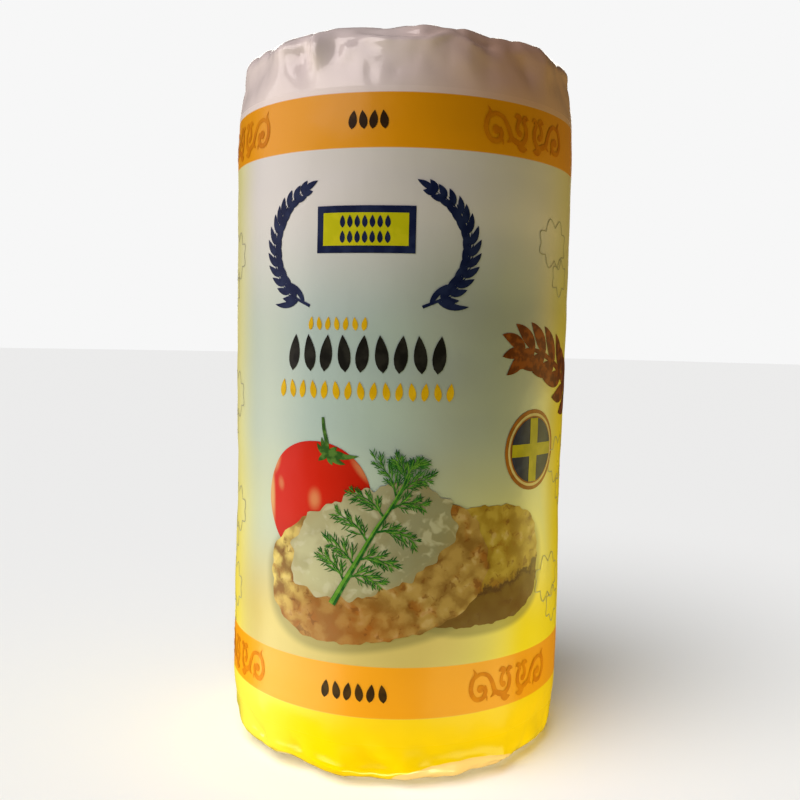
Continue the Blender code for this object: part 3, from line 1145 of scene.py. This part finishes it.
def cake_layers(light, shade, toast, lit_side, toast_middle, toast_half, crease, crease_turn, side_dark):
    """Puffed kernels: soft lumps of light and shade, brown cracks here and there, and a toasted side."""
    def layers(tree, p, v, sheet):
        grown = warped(tree, sheet, 0.0028, 0.0034)
        puffs = cells(tree, grown, 250.0, 0.7)
        small = cells(tree, grown, 640.0, 0.5)
        cloudy = noise_value(tree, sheet, 120.0, 3.0, 0.55)
        mottled = noise_value(tree, grown, 240.0, 5.0, 0.62)
        lumps = maths(tree, "ADD", times(tree, puffs, 0.75), times(tree, mottled, 0.6))
        left = soft_step(tree, p, -0.010, -0.024)
        body = lay_colour(tree, times(tree, left, 0.8), light, lit_side)
        paint = lay_colour(tree, soft_step(tree, lumps, 0.38, 0.86), body, shade)
        pale = times(tree, soft_step(tree, puffs, 0.30, 0.05), soft_step(tree, cloudy, 0.45, 0.60))
        paint = lay_colour(tree, times(tree, pale, 0.5), paint, colour(0.60, 0.48, 0.28))
        toasted = soft_step(tree, oval_distance(tree, p, v, toast_middle, toast_half), 1.5, 0.3)
        blotch = maths(tree, "ADD", times(tree, toasted, 0.5), soft_step(tree, cloudy, 0.50, 0.66))
        blotch = times(tree, blotch, soft_step(tree, mottled, 0.42, 0.60))
        paint = lay_colour(tree, times(tree, blotch, 0.42), paint, toast)
        paint = lay_colour(tree, times(tree, toasted, 0.45), paint, toast)
        crack = times(tree, soft_step(tree, small, 0.42, 0.60), soft_step(tree, mottled, 0.52, 0.60))
        paint = lay_colour(tree, times(tree, crack, 0.55), paint, colour(0.14, 0.045, 0.006))
        below = maths(tree, "SUBTRACT",
                      maths(tree, "ADD", crease, times(tree, p, crease_turn)),
                      maths(tree, "ADD", v, times(tree, maths(tree, "SUBTRACT", mottled, 0.5), 0.010)))
        side = soft_step(tree, below, 0.0, 0.0016)
        paint = lay_colour(tree, times(tree, side, side_dark), paint, colour(0.10, 0.045, 0.005))
        line = times(tree, side, soft_step(tree, below, 0.0032, 0.0012))
        return lay_colour(tree, times(tree, line, side_dark), paint, colour(0.06, 0.02, 0.004))
    return layers


# %% [markdown]
# ## Tomato and spread
#
# The tomato is one red that deepens away from the light, with a few soft reflections. The spread is a pale
# tone that greys to the right, broken by noise into folds. Both are patterns on flat shapes, as they are on
# the real film.

# %% Tomato and spread finishes
def tomato_layers(tree, p, v, sheet):
    """Red skin, darker away from the light, with a few soft reflections."""
    shade = soft_step(tree, oval_distance(tree, p, v, (-0.022, 0.077), (0.030, 0.026)), 0.2, 1.2)
    paint = lay_colour(tree, shade, colour(0.60, 0.012, 0.0), colour(0.36, 0.006, 0.0))
    for middle, half, turn, strength in (
        ((-0.0270, 0.0740), (0.0012, 0.0090), 0.05, 0.85),
        ((-0.0252, 0.0820), (0.0014, 0.0034), -0.35, 0.55),
        ((-0.0235, 0.0765), (0.0011, 0.0020), 0.2, 0.35),
        ((-0.0125, 0.0735), (0.0020, 0.0030), 0.0, 0.45),
        ((0.0000, 0.0815), (0.0012, 0.0042), 0.7, 0.35),
    ):
        shine = soft_step(tree, oval_distance(tree, p, v, middle, half, turn), 1.3, 0.2)
        paint = lay_colour(tree, times(tree, shine, strength), paint, colour(0.72, 0.46, 0.20))
    return paint


def cream_layers(tree, p, v, sheet):
    """Soft folds of spread, pale at the left and greyer to the right."""
    grown = warped(tree, sheet, 0.008, 0.006)
    folds = noise_value(tree, grown, 120.0, 2.0, 0.45)
    soft = noise_value(tree, grown, 300.0, 2.0, 0.5)
    to_right = soft_step(tree, p, -0.016, 0.016)
    tone = lay_colour(tree, to_right, colour(0.50, 0.50, 0.34), colour(0.26, 0.26, 0.18))
    hollow = times(tree, soft_step(tree, folds, 0.58, 0.40), 0.40)
    paint = lay_colour(tree, hollow, tone, colour(0.24, 0.21, 0.11))
    peak = times(tree, soft_step(tree, soft, 0.52, 0.66), 0.45)
    paint = lay_colour(tree, peak, paint, colour(0.60, 0.60, 0.50))
    from_middle = oval_distance(tree, p, v, (0.0028, 0.0640), (0.0225, 0.0125), radians(22))
    edge = soft_step(tree, from_middle, 0.86, 1.04)
    return lay_colour(tree, times(tree, edge, 0.22), paint, colour(0.34, 0.25, 0.11))


front_cake_print = picture_material("front cake print", cake_layers(
    colour(0.40, 0.26, 0.08), colour(0.22, 0.115, 0.024), colour(0.34, 0.085, 0.001), colour(0.80, 0.66, 0.20),
    (-0.0110, 0.0400), (0.0240, 0.0100), 0.0375, 0.30, 0.22))
back_cake_print = picture_material("back cake print", cake_layers(
    colour(0.42, 0.30, 0.05), colour(0.27, 0.165, 0.014), colour(0.26, 0.09, 0.002), colour(0.44, 0.32, 0.05),
    (0.0300, 0.0450), (0.0200, 0.0070), 0.0440, 0.25, 0.78))
tomato_print = picture_material("tomato print", tomato_layers)
cream_print = picture_material("cream print", cream_layers)
print("nodes in the front cake's finish:", len(front_cake_print.node_tree.nodes))

# %% [markdown]
# ## Laying the food
#
# The shapes are laid in the order they were printed, back ones first, each a layer above what it covers.
# Small waves round the edges give the cakes and the spread their uneven outlines.

# %% Lay the food on the film
CAKE_LUMPS = ((13, 0.010, 0.4), (29, 0.010, 1.9), (47, 0.006, 0.2))
CREAM_LUMPS = ((7, 0.030, 0.9), (16, 0.035, 0.2), (27, 0.022, 2.0), (41, 0.010, 1.0))
TOMATO_OUTLINE = rounded(15.3, 15.2, 0.0, 2.1)
BACK_CAKE_OUTLINE = rounded(21.0, 15.2, 0.03, 3.0, CAKE_LUMPS)
FRONT_CAKE_OUTLINE = rounded(30.2, 17.4, radians(11), 2.45, CAKE_LUMPS)
CREAM_OUTLINE = rounded(22.8, 12.6, radians(22), 2.25, CREAM_LUMPS)
printed_shape("print_tomato", (-12.3, 73.0), TOMATO_OUTLINE, tomato_print, 0, 12, 96)
printed_shape("print_back_cake", (31.5, 57.2), BACK_CAKE_OUTLINE, back_cake_print, 0, 14, 160)
printed_shape("print_front_cake", (3.6, 56.2), FRONT_CAKE_OUTLINE, front_cake_print, 2, 18, 180)
printed_shape("print_cream", (2.4, 63.8), CREAM_OUTLINE, cream_print, 3, 12, 180)
print("food pieces:", [piece.name for piece in ink_pieces[-4:]])

# %% [markdown]
# ## Dill and tomato leaves
#
# The dill is a curved stem with side branches, each set with thread-thin leaflets that fan out and curl.
# Two greens, one laid over the other with a small shift, give it depth. The tomato's star of leaves uses
# the same brush.

# %% Draw the greens
dill_ink = ink("dill green ink", colour(0.012, 0.095, 0.018), colour(0.05, 0.20, 0.03), 0.002)
dill_light_ink = ink("dill light ink", colour(0.09, 0.27, 0.03), colour(0.16, 0.36, 0.05), 0.002)
calyx_ink = ink("calyx green ink", colour(0.03, 0.10, 0.018), colour(0.09, 0.20, 0.04), 0.002)

DILL_STEM = ((-6.8, 47.6), (-3.6, 53.4), (-0.2, 59.4), (3.8, 66.4), (7.6, 72.2), (10.6, 77.6), (12.2, 81.4))
DILL_BRANCHES = (
    # (share along the stem, tip): each branch bows a little between the two
    (0.16, (-9.6, 59.8)), (0.20, (5.0, 53.6)), (0.30, (-8.0, 62.8)), (0.33, (7.8, 58.2)), (0.44, (-5.8, 70.4)),
    (0.50, (13.8, 64.6)), (0.60, (-1.6, 76.0)), (0.66, (15.6, 73.2)), (0.74, (4.0, 84.0)), (0.80, (17.0, 79.6)),
    (0.90, (9.0, 84.6)), (0.96, (14.6, 84.0)),
)
dill = Drawing("ink_dill")
dill_lights = Drawing("ink_dill_lights")
stem = smooth_path(DILL_STEM, 8)
dill.stroke(stem, 1.9, lambda t: 0.22 + 0.78 * (1.0 - t) ** 1.2)
dill_lights.stroke([point + Vector((-0.25, 0.12)) for point in stem], 1.0, lambda t: 1.0 - 0.9 * t)
for number, (share, tip) in enumerate(DILL_BRANCHES):
    root = stem[round(share * (len(stem) - 1))]
    tip = Vector(tip)
    bow = Vector((-(tip - root).y, (tip - root).x)) * (0.14 if number % 2 else -0.10)
    branch = smooth_path((root, (root + tip) / 2.0 + bow, tip), 7)
    dill.stroke(branch, 0.60, taper_width)
    for k in range(2, len(branch)):
        way = branch[min(k + 1, len(branch) - 1)] - branch[k - 1]
        heading = atan2(way.y, way.x)
        hand = 1.0 if (k + number) % 2 else -1.0
        size = 4.4 * (1.0 - 0.40 * k / len(branch)) + 0.9 * sin(3.1 * k + number)
        angle = heading + hand * (0.62 + 0.26 * sin(1.7 * k + 2.3 * number))
        dill.leaf(branch[k], angle, size, 0.36, -hand * 0.35, 6)
        for fork in (0.30, 0.60):
            middle = branch[k] + Vector((cos(angle), sin(angle))) * size * fork
            for side in (-1.0, 1.0):
                turn = angle + side * (0.55 + 0.15 * sin(5.0 * k + number + side))
                dill.leaf(middle, turn, size * (0.62 - 0.3 * fork), 0.28, -side * 0.3, 4)
        dill_lights.leaf(branch[k], angle - hand * 0.10, size * 0.85, 0.18, -hand * 0.3, 4)
dill.finish(dill_ink, 5)
dill_lights.finish(dill_light_ink, 6)

calyx = Drawing("ink_tomato_calyx")
stalk = smooth_path(((-8.7, 84.8), (-9.2, 88.6), (-9.9, 91.6), (-10.2, 94.4)), 5)
calyx.stroke(stalk, 1.15, lambda t: 1.0 - 0.35 * t)
for angle, length, curl in ((160, 4.4, -0.9), (128, 4.8, -0.6), (200, 3.4, 0.5), (12, 5.0, -0.5), (-8, 8.2, 0.35),
                            (-40, 5.2, 0.6), (-75, 2.8, 0.3), (50, 3.2, -0.5)):
    calyx.leaf((-8.6, 85.0), radians(angle), length, 1.5, curl, 6)
calyx.finish(calyx_ink, 1)
print("greens:", len(dill.faces) + len(dill_lights.faces) + len(calyx.faces), "faces")

# %% [markdown]
# ## Badge
#
# On the right side panel a round badge holds a plain cross on a dark field. It is a stack of discs, each a
# little smaller than the one under it, so their edges show as rings.

# %% Draw the badge
badge_rim_ink = ink("badge rim ink", colour(0.26, 0.085, 0.006), colour(0.34, 0.12, 0.012))
badge_pale_ink = ink("badge pale ink", colour(0.56, 0.46, 0.24), colour(0.62, 0.52, 0.28))
cross_ink = ink("cross yellow ink", colour(0.34, 0.31, 0.002), colour(0.40, 0.36, 0.004))
BADGE = (49.0, 86.0)
BADGE_DISCS = (
    ("rim", 10.6, badge_rim_ink),
    ("pale", 9.6, badge_pale_ink),
    ("line", 8.9, badge_rim_ink),
    ("field", 8.5, navy_ink),
)
for layer, (part, radius, disc_ink) in enumerate(BADGE_DISCS):
    printed_shape("ink_badge_" + part, BADGE, rounded(radius, radius), disc_ink, layer, 8, 72)
badge_cross = Drawing("ink_badge_cross")
for way in (Vector((1.0, 0.0)), Vector((0.0, 1.0))):
    arm = [Vector(BADGE) + way * 8.35 * (k / 8.0 - 1.0) for k in range(17)]
    badge_cross.stroke(arm, 3.3, even_width)
badge_cross.finish(cross_ink, 4)
print("badge:", len(BADGE_DISCS), "discs and a cross")

# %% [markdown]
# ## Branch
#
# A brown branch runs round from the right side onto the front, with leaves in pairs that shrink towards its
# tip.

# %% Draw the branch
branch = Drawing("ink_brown_branch")
bough = smooth_path(((84.0, 99.0), (71.0, 102.0), (59.0, 108.5), (48.5, 112.0), (41.5, 111.5)), 10)
branch.stroke(bough, 3.0, taper_width)
for k in range(5, len(bough) - 3, 5):
    way = bough[k + 1] - bough[k]
    heading = atan2(way.y, way.x)
    share = k / (len(bough) - 1)
    for hand in (-1.0, 1.0):
        branch.leaf(bough[k], heading + hand * 0.80, 15.0 - 6.5 * share, 5.4 - 2.2 * share, -hand * 0.45, 10)
branch.leaf(bough[-4], heading, 7.0, 2.8, 0.1, 8)
branch.finish(branch_ink)
print("branch:", len(branch.faces), "faces")

# %% [markdown]
# ## Clouds
#
# Thin cloud outlines stand at both sides. Each is an oval ring of scallops with a smaller one under it.

# %% Draw the clouds
clouds = Drawing("ink_cloud_lines")


def cloud_edge(points, bulge, width=0.32):
    """A line of round scallops from point to point, bulging to one side."""
    for a, b in zip(points, points[1:]):
        a, b = Vector(a), Vector(b)
        out = Vector((-(b - a).y, (b - a).x)) * bulge
        arc = [a + (b - a) * t + out * sin(pi * t) for t in (k / 8.0 for k in range(9))]
        clouds.stroke(arc, width, lambda t: 0.75 + 0.25 * sin(pi * t))


def cloud(middle, wide, tall, lobes):
    """A closed cloud outline: an oval of round scallops that bulge outwards."""
    ring = [(middle[0] + wide * cos(2.0 * pi * k / lobes), middle[1] + tall * sin(2.0 * pi * k / lobes))
            for k in range(lobes + 1)]
    cloud_edge(ring, -0.55)


CLOUD_PLACES = (
    (57.0, 140.0), (-50.5, 136.0), (-51.5, 98.0), (-50.0, 66.0), (-52.0, 44.0), (60.0, 50.0), (66.0, 82.0)
)
for left, lift in CLOUD_PLACES:
    cloud((left, lift), 7.0, 4.2, 8)
    cloud((left + 4.5 * (1.0 if left > 0.0 else -1.0), lift - 8.5), 4.6, 3.0, 6)
clouds.finish(cloud_ink)
print("clouds:", 2 * len(CLOUD_PLACES), "and ink pieces so far:", len(ink_pieces))

# %% [markdown]
# ## Crimped seals
#
# Both ends of the tube were pressed shut between ribbed jaws and folded over, and the film's two long edges
# meet in a flat fin down the back. Each is a strip cut finely enough to carry its ribs as real relief, with
# a saw-tooth edge where the knife cut it, dropped onto the film by a Shrinkwrap and then given a thickness.

# %% A crimped strip
def flat_strip(name, length, width, along_cells, across_cells):
    """A strip lying in the XY plane, long in X, with its cut edge at the +Y side in saw teeth."""
    start_clean()
    bpy.ops.mesh.primitive_grid_add(x_subdivisions=along_cells, y_subdivisions=across_cells, size=1.0)
    strip = bpy.context.object
    strip.name = name
    strip.scale = (length, width, 1.0)
    bpy.ops.object.transform_apply(scale=True)
    co = positions(strip)
    tooth = np.round((co[:, 0] + length / 2.0) / (length / along_cells)).astype(int) % 2
    co[:, 1] += np.where(co[:, 1] > width / 2.0 - 1e-6, TOOTH_DEPTH * (tooth - 0.5), 0.0)
    move_verts(strip, co)
    drop_maps(strip)
    return strip


TOOTH_DEPTH = 0.0009
RIB_HEIGHT = 0.00016
SEAL_LENGTH = 0.076
SEAL_WIDTH = 0.011
SEAL_RIBS = 6
FIN_WIDTH = 0.012
FIN_INSET = 0.010
FIN_RIB_PITCH = 0.0016
SEAL_THICKNESS = 0.0003
SEAL_LIFT = 0.0006
SEAL_WAVE = 0.0002
FIN_LIFT = 0.0005
DROP_FROM = 0.002


def end_seal(name, end_z, up):
    """A seal folded flat on one end, its ribs running along it. up is 1 for the crown and -1 for the foot."""
    seal = flat_strip(name, SEAL_LENGTH, SEAL_WIDTH, 100, 42)
    flat = positions(seal)
    flat[:, 1] -= SEAL_WIDTH / 2.0
    flat[:, 2] = end_z + up * DROP_FROM
    move_verts(seal, flat)
    drop = seal.modifiers.new("drop", "SHRINKWRAP")
    drop.target = film
    drop.wrap_method = "PROJECT"
    drop.use_project_z = True
    drop.use_negative_direction = True
    drop.use_positive_direction = True
    drop.wrap_mode = "ABOVE_SURFACE"
    drop.offset = SEAL_LIFT
    apply_modifiers(seal)
    co = positions(seal)
    ribs = RIB_HEIGHT * np.sin(2.0 * pi * SEAL_RIBS * (flat[:, 1] + SEAL_WIDTH) / SEAL_WIDTH)
    wave = SEAL_WAVE * np.sin(flat[:, 0] * 190.0) * np.sin(flat[:, 0] * 71.0 + 1.0)
    co[:, 2] += up * (ribs + wave)
    move_verts(seal, co)
    if up < 0.0:
        seal.data.flip_normals()
    return finish_seal(seal, flat[:, :2], crimped_film)


def finish_seal(seal, sheet_place, material):
    """Give a strip its print map, its thickness and its finish."""
    add_map(seal, "print", sheet_place[corner_verts(seal)])
    thicken = seal.modifiers.new("thicken", "SOLIDIFY")
    thicken.thickness = SEAL_THICKNESS
    thicken.offset = -1.0
    apply_modifiers(seal)
    bpy.ops.object.shade_smooth_by_angle(angle=radians(40))
    seal.data.materials.append(material)
    ink_pieces.append(seal)
    return seal


crimped_film = ink("crimped film", END_FILM, colour(0.70, 0.64, 0.60), 0.006, 0.4)
crown_seal = end_seal("crown_seal", PACK_HEIGHT, 1.0)
foot_seal = end_seal("foot_seal", 0.0, -1.0)
print("end seals:", len(crown_seal.data.polygons) + len(foot_seal.data.polygons), "faces")

# %% [markdown]
# ## Back fin
#
# The fin is the same kind of strip stood upright and bent round the back. Its ribs run across it, and it is
# printed like the film it was made from.

# %% The fin down the back
fin_length = PACK_HEIGHT - 2.0 * FIN_INSET
fin = flat_strip("back_fin", fin_length, FIN_WIDTH, 480, 12)
fin_flat = positions(fin)
fin_u = GIRTH / 2.0 - fin_flat[:, 1]
fin_v = fin_flat[:, 0] + PACK_HEIGHT / 2.0
fin_turn = fin_u / TUBE_RADIUS
wrap_out = TUBE_RADIUS + CLEARANCE
fin_co = np.column_stack((wrap_out * np.sin(fin_turn), -wrap_out * np.cos(fin_turn), fin_v))
move_verts(fin, fin_co)
press = fin.modifiers.new("press", "SHRINKWRAP")
press.target = film
press.wrap_mode = "ABOVE_SURFACE"
press.offset = FIN_LIFT
apply_modifiers(fin)
fin_co = positions(fin)
fin_out = np.hypot(fin_co[:, 0], fin_co[:, 1])
ribbed = 1.0 + RIB_HEIGHT * 0.7 * np.sin(2.0 * pi * fin_v / FIN_RIB_PITCH) / fin_out
fin_co[:, :2] *= ribbed[:, None]
move_verts(fin, fin_co)
facing = sum(face.normal.y * face.center.y for face in fin.data.polygons)
if facing < 0.0:
    fin.data.flip_normals()
finish_seal(fin, np.column_stack((fin_u, fin_v)), film.data.materials[0])
print("fin:", len(fin.data.polygons), "faces")

# %% [markdown]
# ## Floor and studio
#
# The pack stands on a plain pale floor before a backdrop of nearly the same tone. The floor has a broad sun
# of its own for a soft contact shadow. It throws no shadow upwards, because small lamps close to the
# ground, as on a light table, brighten the foot of the pack.

# %% Floor and backdrop
BACKDROP = 0.93
FLOOR_TONE = 0.85
scene = bpy.context.scene
scene.view_settings.view_transform = "Standard"
scene.view_settings.look = "None"


def studio_world():
    """A white backdrop for the camera, with a faint even light from all round."""
    world = bpy.data.worlds.new("studio")
    world.use_nodes = True
    tree = world.node_tree
    tree.nodes.clear()
    output = tree.nodes.new("ShaderNodeOutputWorld")
    choose = tree.nodes.new("ShaderNodeMixShader")
    seen = tree.nodes.new("ShaderNodeLightPath")
    faint = tree.nodes.new("ShaderNodeBackground")
    faint.inputs["Color"].default_value = colour(1.0, 0.93, 0.82)
    faint.inputs["Strength"].default_value = 0.05
    white = tree.nodes.new("ShaderNodeBackground")
    white.inputs["Color"].default_value = colour(1.0, 1.0, 1.0)
    white.inputs["Strength"].default_value = BACKDROP
    tree.links.new(seen.outputs["Is Camera Ray"], choose.inputs[0])
    tree.links.new(faint.outputs[0], choose.inputs[1])
    tree.links.new(white.outputs[0], choose.inputs[2])
    tree.links.new(choose.outputs[0], output.inputs[0])
    return world


scene.world = studio_world()
start_clean()
bpy.ops.mesh.primitive_circle_add(vertices=96, radius=6.0, fill_type="NGON", location=(0.0, 0.0, -0.0002))
floor = bpy.context.object
floor.name = "floor"
floor_paper = bpy.data.materials.new("floor paper")
floor_paper.use_nodes = True
paper = floor_paper.node_tree.nodes["Principled BSDF"]
paper.inputs["Base Color"].default_value = colour(FLOOR_TONE, FLOOR_TONE, FLOOR_TONE)
paper.inputs["Roughness"].default_value = 1.0
paper.inputs["Specular IOR Level"].default_value = 0.0
floor.data.materials.append(floor_paper)
floor.visible_diffuse = False
floor.visible_glossy = False
floor.visible_shadow = False
print("floor:", round(floor.dimensions.x), "m across")

# %% [markdown]
# ## Lamps
#
# The light comes from the left and from above, and falls off to a warm dim right side. The sun lights only
# the floor and the lamps light only the pack, so each can be set without spoiling the other. Lamps are
# large and soft; the small ones near the ground reach just the lowest third of the film.

# %% Place the lamps
def light_group(name, pieces):
    group = bpy.data.collections.new(name)
    scene.collection.children.link(group)
    for piece in pieces:
        group.objects.link(piece)
    return group


pack_meshes = [piece for piece in scene.objects if piece.type == "MESH" and piece != floor]
lit_pack = light_group("lit_pack", pack_meshes)
lit_floor = light_group("lit_floor", [floor])

LAMPS = (
    # (name, turn from the front to the right, height, distance, width and height, power, colour, target)
    ("key", -85, 0.20, 0.80, (0.60, 0.80), 2.5, (1.0, 0.90, 0.90), (0.0, 0.0, 0.10)),
    ("high_left", -45, 0.50, 0.55, (0.40, 0.40), 2.1, (1.0, 0.88, 0.86), (0.0, 0.0, 0.15)),
    ("low_left", -62, -0.02, 0.17, (0.20, 0.05), 0.20, (1.0, 0.98, 0.60), (-0.03, -0.02, 0.015)),
    ("low_front", -5, -0.02, 0.16, (0.20, 0.05), 0.045, (1.0, 0.92, 0.45), (0.0, -0.03, 0.015)),
    ("low_right", 48, -0.02, 0.16, (0.16, 0.05), 0.12, (1.0, 0.92, 0.35), (0.03, -0.03, 0.015)),
    ("under", 12, -0.24, 0.08, (0.16, 0.06), 0.46, (1.0, 0.78, 0.40), (0.012, -0.03, 0.0)),
    ("warm_right", 100, 0.06, 0.50, (0.30, 0.30), 0.40, (1.0, 0.50, 0.20), (0.0, 0.0, 0.06)),
    ("edge_right", 100, 0.03, 0.30, (0.15, 0.10), 0.18, (1.0, 1.0, 0.30), (0.03, 0.0, 0.03)),
    ("behind", 180, 0.35, 0.70, (0.60, 0.50), 2.0, (1.0, 0.97, 0.90), (0.0, 0.0, 0.10)),
)
for name, turn, height, distance, size, power, tint, target in LAMPS:
    lamp = bpy.data.lights.new(name, "AREA")
    lamp.shape = "RECTANGLE"
    lamp.size, lamp.size_y = size
    lamp.energy = power
    lamp.color = tint
    holder = bpy.data.objects.new(name, lamp)
    scene.collection.objects.link(holder)
    place = Vector((sin(radians(turn)) * distance, -cos(radians(turn)) * distance, height))
    aim = (Vector(target) - place).to_track_quat("-Z", "Y")
    holder.matrix_world = Matrix.Translation(place) @ aim.to_matrix().to_4x4()
    holder.visible_camera = False
    holder.light_linking.receiver_collection = lit_pack

floor_sun = bpy.data.lights.new("floor_sun", "SUN")
floor_sun.energy = 3.45
floor_sun.angle = radians(50)
sun_holder = bpy.data.objects.new("floor_sun", floor_sun)
scene.collection.objects.link(sun_holder)
sun_holder.rotation_euler = (radians(25), radians(-20), 0.0)
sun_holder.light_linking.receiver_collection = lit_floor
print("lamps:", len(LAMPS), "for the pack and one for the floor")

# %% [markdown]
# ## Joining the looks to the model
#
# The pack is one rigid piece, so the film, its seals and every ink ride on its one body. The film stands
# for the pack's plain solid, which is hidden but still carries the weight and the contacts.

# %% Ride, replace and finish
for piece in ink_pieces + [film]:
    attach(piece, "root")
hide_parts("pack")
